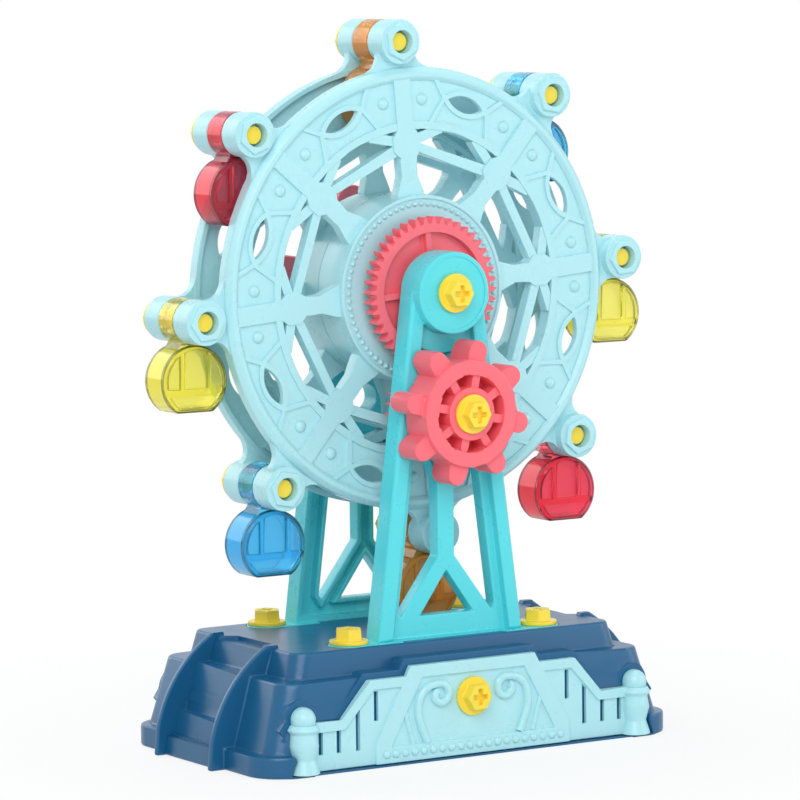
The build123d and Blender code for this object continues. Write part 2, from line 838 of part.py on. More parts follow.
with BuildPart() as front_fence:
    with BuildSketch(facing(fence_back, 0)):
        add(fence_outline())
        for x, low, outer_top, inner_top in slots:
            for side in (-1, 1):
                with BuildLine():
                    Polyline(
                        (side * (x - slot_width / 2), low),
                        (side * (x + slot_width / 2), low),
                        (side * (x + slot_width / 2), inner_top),
                        (side * (x - slot_width / 2), outer_top),
                        close=True,
                    )
                make_face(mode=Mode.SUBTRACT)
    extrude(amount=fence_floor - fence_back)

    # frame of the middle panel and the sloping handrails
    with BuildSketch(facing(fence_floor, 0)):
        Polygon(
            (-panel_foot, fence_bottom),
            (panel_foot, fence_bottom),
            (panel_foot, panel_knee),
            (panel_top_half, panel_top),
            (-panel_top_half, panel_top),
            (-panel_foot, panel_knee),
            align=None,
        )
        Polygon(
            (-panel_foot + panel_side + 2, panel_sill),
            (panel_foot - panel_side - 2, panel_sill),
            (panel_top_half - panel_side, panel_top - panel_head),
            (-panel_top_half + panel_side, panel_top - panel_head),
            align=None,
            mode=Mode.SUBTRACT,
        )
        for side in (-1, 1):
            with BuildLine():
                Polyline(
                    (side * post_x, rail_low),
                    (side * rail_low_end, rail_low),
                    (side * rail_high_end, rail_high),
                    (side * (panel_top_half + 1), rail_high),
                    (side * (panel_top_half + 3), rail_high - rail_drop),
                    (side * (rail_high_end - 2), rail_high - rail_drop),
                    (side * (rail_low_end - 1.2), rail_low - rail_drop),
                    (side * post_x, rail_low - rail_drop),
                    close=True,
                )
            make_face()
    extrude(amount=fence_rim - fence_floor)

    # turned half posts with a ball on top
    for side in (-1, 1):
        with BuildSketch(Plane(origin=(side * post_x, -fence_floor, 0), x_dir=(1, 0, 0), z_dir=(0, -1, 0))):
            Polygon(
                (0, fence_bottom),
                (6.5, fence_bottom),
                (4.7, 6.6),
                (6.0, 12.0),
                (5.2, 16.8),
                (6.6, 18.4),
                (5.2, 20.4),
                (0, 20.4),
                align=None,
            )
        revolve(axis=Axis((side * post_x, -fence_floor, 0), (0, 0, 1)), revolution_arc=-180)
        with Locations((side * post_x, -fence_floor, ball_height)):
            Sphere(ball_radius)
    split(bisect_by=Plane(origin=(0, -fence_back, 0), z_dir=(0, -1, 0)), keep=Keep.TOP)
    with BuildSketch(facing(fence_back, fence_bolt_z)):
        Circle(bolt_hole)
    extrude(amount=fence_rim, mode=Mode.SUBTRACT)
front_fence.part.label = "front_fence"
export_step(front_fence.part, "parts/front_fence.step")

with BuildPart() as rear_fence:
    mirror(front_fence.part, about=Plane.XZ)
rear_fence.part.label = "rear_fence"
export_step(rear_fence.part, "parts/rear_fence.step")

# ================================================================ base
with BuildSketch() as stair_side:
    with BuildLine():
        stair_points = [(stair_foot, 0)]
        for step in range(step_count - 1):
            tread_z = first_tread + step * step_rise
            nose_x = stair_foot - first_nose - step * step_run
            stair_points += [(nose_x, tread_z), (nose_x - step_run + riser_lean, tread_z)]
        stair_points += [
            (top_half_length + landing_nose, landing_height),
            (landing_inner, landing_height),
            (landing_inner, 0),
        ]
        Polyline(*stair_points, close=True)
    make_face()

with BuildSketch() as rail_side:
    with BuildLine():
        rail_top = base_height + rail_rise
        rail_start = (rail_foot - 1.0, rail_knee)
        rail_end = (top_half_length + 2.0, rail_top)
        Line((rail_foot, 0), rail_start)
        SagittaArc(rail_start, rail_end, -rail_bow)
        Polyline(
            rail_end,
            (top_half_length - 2.5, rail_top),
            (top_half_length - 3.5, base_height - 1),
            (top_half_length - 3.5, 0),
            (rail_foot, 0),
        )
    make_face()


def tier(low_length, low_depth, high_length, high_depth, corner, low_z, high_z):
    """Block with rounded corners that leans in from its foot to its top."""
    with BuildPart() as made:
        with BuildSketch(Plane.XY.offset(low_z)):
            Rectangle(2 * low_length, 2 * low_depth)
        with BuildSketch(Plane.XY.offset(high_z)):
            Rectangle(2 * high_length, 2 * high_depth)
        loft()
        fillet(made.edges().filter_by(lambda edge: abs(edge.tangent_at(0).Z) > 0.5), corner)
    return made.part


flange_block = tier(
    flange_half_length, flange_half_depth, flange_half_length, flange_half_depth,
    flange_corner, 0, flange_height,
)
middle_block = tier(
    middle_foot_length, middle_foot_depth, middle_half_length, middle_half_depth,
    middle_corner, flange_height - 1, middle_height,
)
top_block = tier(
    top_foot_length, top_foot_depth, top_half_length, top_half_depth,
    top_corner, middle_height - 1, base_height,
)
middle_hollow = tier(
    middle_foot_length - base_wall, middle_foot_depth - base_wall,
    middle_half_length - base_wall, middle_half_depth - base_wall,
    middle_corner - base_wall, 0, middle_height - base_wall,
)
top_hollow = tier(
    top_foot_length - base_wall, top_foot_depth - base_wall,
    top_half_length - base_wall, top_half_depth - base_wall,
    top_corner - base_wall, middle_height - base_wall - 1, base_height - foot_drop - base_wall,
)

with BuildPart() as base_shell:
    add(flange_block)
    add(middle_block)
    add(top_block)
    fillet(base_shell.faces().sort_by(Axis.Z)[-1].edges(), tier_round)

    # stairs between two arched side walls, at both ends
    with BuildSketch(Plane.XZ):
        add(stair_side.sketch)
        mirror(about=Plane.YZ)
    extrude(amount=stair_half_width + stair_rail / 2, both=True)
    for side in (-1, 1):
        with BuildSketch(Plane.XZ.offset(side * (stair_half_width + stair_rail / 2))):
            add(rail_side.sketch)
            mirror(about=Plane.YZ)
        extrude(amount=stair_rail / 2, both=True)

    # landing at the head of the stairs, sunk into the plateau and narrowing inwards
    with BuildSketch(Plane.XY.offset(landing_height)):
        Polygon(
            (landing_inner, -landing_half),
            (top_half_length + landing_nose + 1, -stair_half_width),
            (top_half_length + landing_nose + 1, stair_half_width),
            (landing_inner, landing_half),
            align=None,
        )
        mirror(about=Plane.YZ)
    extrude(amount=2 * landing_drop, mode=Mode.SUBTRACT)

    # raised seat that follows the fence, front and rear
    with BuildSketch(facing(fence_back, 0)):
        offset(fence_outline(), amount=seat_border, kind=Kind.INTERSECTION)
        with Locations((0, middle_height / 2 - 20)):
            Rectangle(3 * post_x, middle_height - 12, mode=Mode.SUBTRACT)
    extrude(amount=-(fence_back - top_half_depth - 1))
    with BuildSketch(facing(-fence_back, 0)):
        offset(fence_outline(), amount=seat_border, kind=Kind.INTERSECTION)
        with Locations((0, middle_height / 2 - 20)):
            Rectangle(3 * post_x, middle_height - 12, mode=Mode.SUBTRACT)
    extrude(amount=fence_back - top_half_depth - 1)

    # hollow underside
    add(middle_hollow, mode=Mode.SUBTRACT)
    add(top_hollow, mode=Mode.SUBTRACT)
    with BuildSketch(Plane.XZ):
        offset(stair_side.sketch, amount=-base_wall, kind=Kind.INTERSECTION)
        with Locations((middle_foot_length - base_wall, 0)):
            Rectangle(2 * (stair_foot - middle_foot_length), 2 * first_tread - 2 * base_wall)
        mirror(about=Plane.YZ)
    extrude(amount=stair_half_width - stair_rail / 2, both=True, mode=Mode.SUBTRACT)

    # recess for each fence, down to a thin lip along the bottom
    for side in (-1, 1):
        with BuildSketch(facing(side * fence_back, 0)):
            offset(fence_outline(), amount=fence_gap, kind=Kind.INTERSECTION)
        extrude(amount=side * (flange_half_depth - fence_back + 1), mode=Mode.SUBTRACT)
        with BuildSketch(facing(side * lip_front, 0)):
            Rectangle(2 * (post_x - 3), 2 * flange_height)
        extrude(amount=side * flange_height, mode=Mode.SUBTRACT)

    # threaded sockets for the foot bolts and the fence bolts
    with BuildSketch(Plane.XY.offset(foot_bottom)):
        with GridLocations(2 * foot_bolt_x, 2 * foot_bolt_y, 2, 2):
            Circle(socket_radius)
    extrude(amount=-socket_depth)
    for side in (-1, 1):
        with BuildSketch(facing(side * fence_back, fence_bolt_z)):
            Circle(socket_radius)
        extrude(amount=-side * (fence_bolt_length + 2))
        with BuildSketch(facing(side * fence_back, fence_bolt_z)):
            Circle(thread_hole)
        extrude(amount=-side * (fence_bolt_length + 4), mode=Mode.SUBTRACT)

    # pockets for the tower feet
    for side in (-1, 1):
        with BuildSketch(Plane.XY.offset(foot_bottom)):
            with Locations((0, side * (tower_back + tower_ridge) / 2)):
                Rectangle(2 * tower_half_width + 2 * seat_gap, tower_ridge - tower_back + 2 * seat_gap)
            for end in (-1, 1):
                with Locations((end * (foot_bolt_x + tower_half_width - leg_width) / 2, side * foot_bolt_y)):
                    Rectangle(
                        foot_bolt_x - tower_half_width + leg_width + 2 * seat_gap,
                        2 * (foot_radius + seat_gap),
                    )
                with Locations((end * foot_bolt_x, side * foot_bolt_y)):
                    Circle(foot_radius + seat_gap)
        extrude(amount=foot_drop + 1, mode=Mode.SUBTRACT)
    with BuildSketch(Plane.XY.offset(foot_bottom)):
        with GridLocations(2 * foot_bolt_x, 2 * foot_bolt_y, 2, 2):
            Circle(thread_hole)
    extrude(amount=-socket_depth - 1, mode=Mode.SUBTRACT)
base_shell.part.label = "base_shell"
export_step(base_shell.part, "parts/base_shell.step")

# ================================================================ bolts
with BuildPart() as foot_bolts:
    with Locations(Plane.XY.offset(foot_top)):
        with GridLocations(2 * foot_bolt_x, 2 * foot_bolt_y, 2, 2):
            add(bolt(foot_bolt_length))
foot_bolts.part.label = "foot_bolts"
export_step(foot_bolts.part, "parts/foot_bolts.step")

with BuildPart() as fence_bolts:
    with Locations(facing(fence_floor, fence_bolt_z)):
        add(bolt(fence_bolt_length))
    mirror(about=Plane.XZ)
fence_bolts.part.label = "fence_bolts"
export_step(fence_bolts.part, "parts/fence_bolts.step")

with BuildPart() as front_axle_bolt:
    with Locations(facing(journal_end)):
        add(bolt(socket_depth - 4))
front_axle_bolt.part.label = "front_axle_bolt"
export_step(front_axle_bolt.part, "parts/front_axle_bolt.step")

with BuildPart() as knob_bolt:
    with Locations(facing(bolt_seat, knob_height)):
        add(bolt(socket_depth))
knob_bolt.part.label = "knob_bolt"
export_step(knob_bolt.part, "parts/knob_bolt.step")

with BuildPart() as rear_axle_bolt:
    with Locations(Plane(origin=(0, bolt_seat, axle_height), x_dir=(-1, 0, 0), z_dir=(0, 1, 0))):
        add(bolt(socket_depth))
rear_axle_bolt.part.label = "rear_axle_bolt"
export_step(rear_axle_bolt.part, "parts/rear_axle_bolt.step")

pivot_seat = boss_front + boss_collar_rise
cabin_bolt_length = 2 * pivot_seat - 3.0
pivots = [
    (
        pivot_radius * cos(radians(90 - sector * k + wheel_turn)),
        axle_height + pivot_radius * sin(radians(90 - sector * k + wheel_turn)),
    )
    for k in range(cabin_count)
]
with BuildPart() as cabin_bolts:
    for x, z in pivots:
        with Locations(Plane(origin=(x, pivot_seat, z), x_dir=(-1, 0, 0), z_dir=(0, 1, 0))):
            add(bolt(cabin_bolt_length))
cabin_bolts.part.label = "cabin_bolts"
export_step(cabin_bolts.part, "parts/cabin_bolts.step")

# ================================================================ cabins
colours = ("orange", "blue", "yellow", "red", "orange", "blue", "yellow", "red")


def cabin_outline(inset=0.0):
    """Round cabin with a flat floor, its origin at the hanging pivot."""
    with BuildSketch() as made:
        with Locations((0, -cabin_drop)):
            Circle(cabin_radius - inset)
        with Locations((0, -cabin_floor + inset - cabin_radius)):
            Rectangle(3 * cabin_radius, 2 * cabin_radius, mode=Mode.SUBTRACT)
    return made.sketch


for k, (x, z) in enumerate(pivots):
    def cabin_plane(depth):
        return Plane(origin=(x, -depth, z), x_dir=(1, 0, 0), z_dir=(0, -1, 0))

    cover_back = cabin_half_depth - cover_thick
    neck_bottom = cabin_radius - cabin_drop - neck_root

    with BuildPart() as cabin_body:
        with BuildSketch(cabin_plane(-cabin_half_depth)):
            add(cabin_outline())
        extrude(amount=cabin_half_depth + cover_back)
        chamfer(cabin_body.faces().sort_by(Axis.Y)[-1].edges(), rim_chamfer)
        with BuildSketch(cabin_plane(-cabin_half_depth + cabin_wall)):
            add(cabin_outline(cabin_wall))
        extrude(amount=2 * cabin_half_depth, mode=Mode.SUBTRACT)
        # hanger: a ring on the bolt and a neck down to the roof
        with BuildSketch(cabin_plane(-hanger_half)):
            Circle(hanger_radius)
            Polygon(
                (-neck_half, 0),
                (-neck_half, -neck_waist),
                (-neck_foot, neck_bottom),
                (neck_foot, neck_bottom),
                (neck_half, -neck_waist),
                (neck_half, 0),
                align=None,
            )
            with Locations((0, -cabin_drop)):
                Circle(cabin_radius - cabin_wall / 2, mode=Mode.SUBTRACT)
            Circle(shank_radius + running_fit, mode=Mode.SUBTRACT)
        extrude(amount=2 * hanger_half)
    cabin_body.part.label = f"cabin_{k + 1}_body"
    export_step(cabin_body.part, f"parts/cabin_{k + 1}_body.step")

    with BuildPart() as cabin_cover:
        with BuildSketch(cabin_plane(cover_back)):
            add(cabin_outline())
        extrude(amount=cover_thick)
        chamfer(cabin_cover.faces().sort_by(Axis.Y)[0].edges(), rim_chamfer)
        # disc that plugs into the body
        with BuildSketch(cabin_plane(cover_back)):
            add(cabin_outline(cabin_wall + slip_fit))
        extrude(amount=-cover_lip)
        # three windows above a sill and a panel below it, sunk into the face
        with BuildSketch(cabin_plane(cabin_half_depth)):
            add(cabin_outline(window_frame))
            with Locations((0, -cabin_drop - sill_drop)):
                Rectangle(3 * cabin_radius, sill_height, mode=Mode.SUBTRACT)
            with Locations((-mullion_x, -cabin_drop - sill_drop), (mullion_x, -cabin_drop - sill_drop)):
                Rectangle(
                    mullion_width, 2 * cabin_radius, align=(Align.CENTER, Align.MIN), mode=Mode.SUBTRACT
                )
        extrude(amount=-window_depth, mode=Mode.SUBTRACT)
    cabin_cover.part.label = f"cabin_{k + 1}_cover"
    export_step(cabin_cover.part, f"parts/cabin_{k + 1}_cover.step")
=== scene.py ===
# %% [markdown]
# # A hand-cranked ferris wheel toy
# The toy is a take-apart kit of bright moulded plastic: a lattice wheel between two towers, a pair of gears
# behind a crank knob, and eight see-through cabins. The CAD frame already has every piece at its real size.
# This lesson gives each piece the look of an injection moulding: soft edges, raised ornament and real finishes.

# %% Load the frame
import json
from math import atan2, cos, pi, radians, sin

import bmesh
import bpy
from mathutils import Matrix, Vector
from mathutils.kdtree import KDTree


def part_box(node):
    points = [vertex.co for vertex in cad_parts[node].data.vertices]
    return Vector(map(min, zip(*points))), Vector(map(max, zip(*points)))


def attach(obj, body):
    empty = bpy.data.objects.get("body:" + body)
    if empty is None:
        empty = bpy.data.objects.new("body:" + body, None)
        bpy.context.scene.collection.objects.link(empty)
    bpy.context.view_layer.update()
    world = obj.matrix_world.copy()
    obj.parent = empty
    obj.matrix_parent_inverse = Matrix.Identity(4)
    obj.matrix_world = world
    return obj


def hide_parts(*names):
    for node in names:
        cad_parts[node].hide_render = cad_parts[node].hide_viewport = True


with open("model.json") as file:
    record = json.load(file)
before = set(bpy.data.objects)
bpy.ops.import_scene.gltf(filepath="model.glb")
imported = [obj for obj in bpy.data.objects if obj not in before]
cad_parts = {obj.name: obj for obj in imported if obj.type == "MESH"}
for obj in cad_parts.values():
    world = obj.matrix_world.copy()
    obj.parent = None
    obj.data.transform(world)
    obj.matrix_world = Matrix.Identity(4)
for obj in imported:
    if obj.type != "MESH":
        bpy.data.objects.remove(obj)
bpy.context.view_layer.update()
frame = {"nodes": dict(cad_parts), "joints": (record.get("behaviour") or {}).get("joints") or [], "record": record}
NODE_BODY = {node: body for body, nodes in frame["record"]["behaviour"]["bodies"].items() for node in nodes}
NODE_SLOT = {row["node"]: row["material_slot"] for row in frame["record"]["subparts"]}
JOINT = {joint["name"]: joint for joint in frame["joints"]}
MM = 0.001

# %% [markdown]
# ## Where things are
# The wheel's middle is the axis of its joint, and its first spoke points at the first cabin's hinge. Both are read
# from the frame, so the beads stay on the spokes. The rings, depths and heights of the ornament further down are
# given to fit the CAD, and would have to be changed with it.

# %% Places worked out from the frame
AXLE = Vector(JOINT["wheel_spin"]["pos_m"])
PIVOT = Vector(JOINT["cabin_1_swing"]["pos_m"]) - AXLE
SPOKES = sum(1 for name in JOINT if name.startswith("cabin_"))
FIRST_SPOKE = atan2(PIVOT.z, PIVOT.x)
SECTOR = 2 * pi / SPOKES
print("axle height", round(AXLE.z / MM, 1), "mm, first spoke at", round(FIRST_SPOKE * 180 / pi, 2), "degrees")

# %% [markdown]
# ## Plastic that has been moulded
# Real mouldings are never one flat colour. Pigment drifts a little as the melt flows, the tool's polish leaves a
# very fine orange-peel, and handling leaves faint duller patches. All of the toy's plastics share these, so they
# are one node group with its own colour and amounts in each material. It puts out a colour, a roughness and a
# height, and the shader itself stays in the material.


# %% Scales of the three patterns, in waves for each metre
DRIFT_WAVES = 22.0
MARK_WAVES = 90.0
PEEL_WAVES = 520.0
print("orange peel is about", round(1 / PEEL_WAVES / MM, 1), "mm from bump to bump")


# %% A socket for a group
def add_socket(group, name, kind, way="INPUT", default=None):
    """Adds one named input or output to a node group."""
    made = group.interface.new_socket(name=name, in_out=way, socket_type=kind)
    if default is not None:
        made.default_value = default


# %% The shared plastic group
def make_plastic_group():
    """Builds the group for pigment drift, orange peel and handling marks."""
    group = bpy.data.node_groups.new("moulded_plastic", "ShaderNodeTree")
    add_socket(group, "Pigment", "NodeSocketColor", default=(0.5, 0.5, 0.5, 1))
    add_socket(group, "Deep Pigment", "NodeSocketColor", default=(0.4, 0.4, 0.4, 1))
    add_socket(group, "Drift", "NodeSocketFloat", default=0.3)
    add_socket(group, "Polish", "NodeSocketFloat", default=0.25)
    add_socket(group, "Handling", "NodeSocketFloat", default=0.08)
    add_socket(group, "Color", "NodeSocketColor", "OUTPUT")
    add_socket(group, "Roughness", "NodeSocketFloat", "OUTPUT")
    add_socket(group, "Height", "NodeSocketFloat", "OUTPUT")
    nodes, links = group.nodes, group.links
    inputs = nodes.new("NodeGroupInput")
    outputs = nodes.new("NodeGroupOutput")
    place = nodes.new("ShaderNodeTexCoord")

    drift = nodes.new("ShaderNodeTexNoise")
    drift.inputs["Scale"].default_value = DRIFT_WAVES
    drift.inputs["Detail"].default_value = 2.0
    links.new(place.outputs["Object"], drift.inputs["Vector"])
    amount = nodes.new("ShaderNodeMath")
    amount.operation = "MULTIPLY"
    links.new(drift.outputs["Fac"], amount.inputs[0])
    links.new(inputs.outputs["Drift"], amount.inputs[1])
    tint = nodes.new("ShaderNodeMix")
    tint.data_type = "RGBA"
    links.new(amount.outputs[0], tint.inputs[0])
    links.new(inputs.outputs["Pigment"], tint.inputs[6])
    links.new(inputs.outputs["Deep Pigment"], tint.inputs[7])
    links.new(tint.outputs[2], outputs.inputs["Color"])

    marks = nodes.new("ShaderNodeTexNoise")
    marks.inputs["Scale"].default_value = MARK_WAVES
    marks.inputs["Detail"].default_value = 4.0
    marks.inputs["Roughness"].default_value = 0.65
    links.new(place.outputs["Object"], marks.inputs["Vector"])
    dull = nodes.new("ShaderNodeMath")
    dull.operation = "MULTIPLY_ADD"
    links.new(marks.outputs["Fac"], dull.inputs[0])
    links.new(inputs.outputs["Handling"], dull.inputs[1])
    links.new(inputs.outputs["Polish"], dull.inputs[2])
    links.new(dull.outputs[0], outputs.inputs["Roughness"])

    peel = nodes.new("ShaderNodeTexNoise")
    peel.inputs["Scale"].default_value = PEEL_WAVES
    peel.inputs["Detail"].default_value = 1.5
    links.new(place.outputs["Object"], peel.inputs["Vector"])
    links.new(peel.outputs["Fac"], outputs.inputs["Height"])
    return group


PLASTIC = make_plastic_group()
print("group", PLASTIC.name, "with", len(PLASTIC.nodes), "nodes")


# %% [markdown]
# ## One function for every plastic
# The toy has six solid colours. They differ in pigment and polish, but all come from the same kind of mould, so
# one function makes them. Numbers that are the same all over a surface are set on the shader's own sockets.


# %% Colours as a screen shows them
def linear(r, g, b):
    """Turns a colour as a screen shows it, 0 to 255, into the linear colour that the shader wants."""
    def channel(value):
        part = value / 255
        return part / 12.92 if part <= 0.04045 else ((part + 0.055) / 1.055) ** 2.4
    return (channel(r), channel(g), channel(b), 1.0)


# %% Solid plastics
PEEL_HEIGHT = 0.02 * MM
SOLID_IOR = 1.48


def plastic(name, pigment, deep, polish=0.24, drift=0.35, handling=0.08):
    """Makes an opaque gloss plastic from its pigment and the deeper tone that it drifts to."""
    material = bpy.data.materials.new(name)
    material.use_nodes = True
    nodes, links = material.node_tree.nodes, material.node_tree.links
    shader = nodes["Principled BSDF"]
    look = nodes.new("ShaderNodeGroup")
    look.node_tree = PLASTIC
    look.inputs["Pigment"].default_value = linear(*pigment)
    look.inputs["Deep Pigment"].default_value = linear(*deep)
    look.inputs["Drift"].default_value = drift
    look.inputs["Polish"].default_value = polish
    look.inputs["Handling"].default_value = handling
    bump = nodes.new("ShaderNodeBump")
    bump.inputs["Distance"].default_value = PEEL_HEIGHT
    bump.inputs["Strength"].default_value = 1.0
    links.new(look.outputs["Color"], shader.inputs["Base Color"])
    links.new(look.outputs["Roughness"], shader.inputs["Roughness"])
    links.new(look.outputs["Height"], bump.inputs["Height"])
    links.new(bump.outputs["Normal"], shader.inputs["Normal"])
    shader.inputs["IOR"].default_value = SOLID_IOR
    material.diffuse_color = linear(*pigment)
    return material


# %% The six solid colours
MATERIALS = {
    "pale_aqua": plastic("aqua_plastic", (183, 228, 235), (166, 220, 229)),
    "tower_teal": plastic("teal_plastic", (92, 219, 228), (76, 206, 218)),
    "base_blue": plastic("deep_blue_plastic", (20, 94, 138), (15, 82, 124), polish=0.24, handling=0.12),
    "coral": plastic("coral_plastic", (255, 112, 124), (250, 92, 108), polish=0.30),
    "bolt_yellow": plastic("yellow_plastic", (255, 221, 68), (252, 206, 40), polish=0.22),
    "axle_grey": plastic("axle_plastic", (196, 202, 208), (180, 186, 194), polish=0.34),
}
print("solid plastics", sorted(MATERIALS))


# %% [markdown]
# ## See-through cabins
# The cabins are clear plastic with a dye in it. Clear plastic looks deeper where more of it lies in the light's
# way, so the frame bars look stronger than the thin window panes between them. The panes all lie in one plane,
# a little behind the cover's face, so a mask on the depth coordinate finds them and gives them a lighter dye.


# %% Where the panes lie
COVER_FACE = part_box("cabin_1_cover")[0].y
PANE_DEPTH = 1.6 * MM
PANE_REACH = 0.2 * MM
print("panes lie at", round((COVER_FACE + PANE_DEPTH) / MM, 2), "mm")

# %% Clear dyed plastics
CLEAR_IOR = 1.35
CLEAR_POLISH = 0.06
CLEAR_HANDLING = 0.05
DEEPER = 0.9


def clear_plastic(name, dye, pane_dye, clearness=0.86):
    """Makes a dyed clear plastic whose recessed panes carry less dye than the bars round them."""
    material = bpy.data.materials.new(name)
    material.use_nodes = True
    nodes, links = material.node_tree.nodes, material.node_tree.links
    shader = nodes["Principled BSDF"]
    place = nodes.new("ShaderNodeTexCoord")
    split = nodes.new("ShaderNodeSeparateXYZ")
    links.new(place.outputs["Object"], split.inputs[0])
    pane = nodes.new("ShaderNodeMath")
    pane.operation = "COMPARE"
    pane.inputs[1].default_value = COVER_FACE + PANE_DEPTH
    pane.inputs[2].default_value = PANE_REACH
    links.new(split.outputs["Y"], pane.inputs[0])
    look = nodes.new("ShaderNodeGroup")
    look.node_tree = PLASTIC
    look.inputs["Pigment"].default_value = linear(*dye)
    look.inputs["Deep Pigment"].default_value = linear(*[channel * DEEPER for channel in dye])
    look.inputs["Polish"].default_value = CLEAR_POLISH
    look.inputs["Handling"].default_value = CLEAR_HANDLING
    mix = nodes.new("ShaderNodeMix")
    mix.data_type = "RGBA"
    links.new(pane.outputs[0], mix.inputs[0])
    links.new(look.outputs["Color"], mix.inputs[6])
    mix.inputs[7].default_value = linear(*pane_dye)
    links.new(mix.outputs[2], shader.inputs["Base Color"])
    links.new(look.outputs["Roughness"], shader.inputs["Roughness"])
    shader.inputs["IOR"].default_value = CLEAR_IOR
    shader.inputs["Transmission Weight"].default_value = clearness
    material.diffuse_color = linear(*dye)
    return material


# %% The four cabin colours
MATERIALS.update({
    "cabin_red": clear_plastic("red_clear", (255, 98, 122), (255, 150, 180)),
    "cabin_blue": clear_plastic("blue_clear", (98, 216, 255), (168, 238, 255)),
    "cabin_yellow": clear_plastic("yellow_clear", (255, 248, 124), (252, 252, 186)),
    "cabin_orange": clear_plastic("orange_clear", (255, 190, 92), (255, 214, 140), clearness=0.65),
})
print("clear plastics", sorted(name for name in MATERIALS if name.startswith("cabin")))

# %% [markdown]
# ## Soft edges on every moulding
# A mould's corners are never perfectly sharp, and it is the thin highlight along each rounded edge that makes
# plastic look real. A CAD node may not be changed, so each one is copied and rounded, and the copy stands for
# it. A CAD mesh is loose triangles, so three steps come before the bevel. The corners are welded. The cuts that
# run across flat faces are dissolved, longest first, because the short ones that are left meet the outline
# almost square, and a bevel slides its new corners along them. Only then are the sharp edges picked by angle.

# %% Clear the flat faces
FLAT = radians(0.5)


def clear_flat_faces(mesh):
    """Dissolves the cuts that run across flat faces, longest first."""
    cuts = [edge for edge in mesh.edges if len(edge.link_faces) == 2 and edge.calc_face_angle() < FLAT]
    cuts.sort(key=lambda edge: edge.calc_length(), reverse=True)
    for cut in cuts:
        if cut.is_valid and len(cut.link_faces) == 2 and cut.link_faces[0] is not cut.link_faces[1]:
            bmesh.utils.face_join(cut.link_faces)


# %% [markdown]
# A bevel has no room where edges crowd together, as in the thin tips of a window: its strips cross each other and
# fold over. So the bevel is tried on a copy and looked over. Where two faces meet at more than a right angle it
# has folded. Where a flat face's outline crosses itself, some of its triangles face the wrong way. The edges close
# to either are left sharp on the next try.

# %% Try a bevel
SHARP = radians(30)


def bevel_edges(mesh, width, segments, left_sharp):
    """Bevels every sharp edge that isn't on the list of those to leave, and returns where each one ran."""
    mesh.edges.ensure_lookup_table()
    sharp = [
        edge for edge in mesh.edges
        if edge.index not in left_sharp and len(edge.link_faces) == 2 and edge.calc_face_angle() > SHARP
    ]
    runs = [(edge.index, edge.verts[0].co.copy(), edge.verts[1].co.copy()) for edge in sharp]
    bmesh.ops.bevel(
        mesh, geom=sharp, offset=width, offset_type="OFFSET", segments=segments, profile=0.5,
        affect="EDGES", material=-1, clamp_overlap=False, loop_slide=True,
    )
    return runs


# %% Look for folds
FOLDED = radians(100)
TINY = 0.01 * MM * MM
FOUR_SIDED = 4


def turned_triangles(mesh):
    """Corners of the triangles that face against their own flat face, where its outline crosses itself."""
    mesh.normal_update()
    corners = []
    for loops in mesh.calc_loop_triangles():
        first, second, third = (loop.vert.co for loop in loops)
        across = (second - first).cross(third - first)
        if len(loops[0].face.verts) > FOUR_SIDED and across.length > TINY and across.dot(loops[0].face.normal) < 0:
            corners += [first, second, third]
    return corners


def fold_tree(mesh):
    """Search tree of the corners where the mesh folds over, or nothing when it doesn't."""
    folds = [
        vert.co for edge in mesh.edges
        if len(edge.link_faces) == 2 and edge.calc_face_angle() > FOLDED
        for vert in edge.verts
    ]
    folds += turned_triangles(mesh)
    if not folds:
        return None
    tree = KDTree(len(folds))
    for index, place in enumerate(folds):
        tree.insert(place, index)
    tree.balance()
    return tree


# %% Round the edges where a bevel has room
REACH = 1.5
TRIES = 6
PATIENCE = 3


def round_edges(mesh, width, segments):
    """Returns a copy of the mesh with its edges rounded wherever the rounding has room."""
    mesh.edges.index_update()
    left_sharp = set()
    for attempt in range(TRIES):
        trial = mesh.copy()
        runs = bevel_edges(trial, width, segments, left_sharp)
        folds = fold_tree(trial)
        if folds is None or attempt == TRIES - 1:
            return trial, len(left_sharp)
        for index, start, end in runs:
            steps = max(1, int((end - start).length / width))
            near = [folds.find(start.lerp(end, step / steps))[2] < REACH * width for step in range(steps + 1)]
            if sum(near) > len(near) / 2 or (any(near) and attempt >= PATIENCE):
                left_sharp.add(index)
        trial.free()


# %% [markdown]
# Each soft-edged copy rides on its node's body and stands for the node. Its shading is smooth across round faces
# and breaks at creases, and a weighted normal keeps the large flat faces looking flat right up to their edges.

# %% Put a soft-edged copy in a node's place
WELD = 0.004 * MM
CREASE = radians(38)


def moulded(node, width, segments=2):
    """Makes a soft-edged copy of a CAD node, which takes the node's place in the picture."""
    mesh = bmesh.new()
    mesh.from_mesh(frame["nodes"][node].data)
    bmesh.ops.remove_doubles(mesh, verts=mesh.verts, dist=WELD)
    clear_flat_faces(mesh)
    soft, left = round_edges(mesh, width, segments)
    mesh.free()
    for face in soft.faces:
        face.smooth = True
    for edge in soft.edges:
        edge.smooth = len(edge.link_faces) != 2 or edge.calc_face_angle() < CREASE
    data = bpy.data.meshes.new(node + "_moulded")
    soft.to_mesh(data)
    soft.free()
    piece = bpy.data.objects.new(node + "_moulded", data)
    bpy.context.scene.collection.objects.link(piece)
    data.materials.append(MATERIALS[NODE_SLOT[node]])
    even = piece.modifiers.new("even_shading", "WEIGHTED_NORMAL")
    even.keep_sharp = True
    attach(piece, NODE_BODY[node])
    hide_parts(node)
    print(node, "rounded to", round(width / MM, 2), "mm,", len(data.polygons), "faces,", left, "edges left")


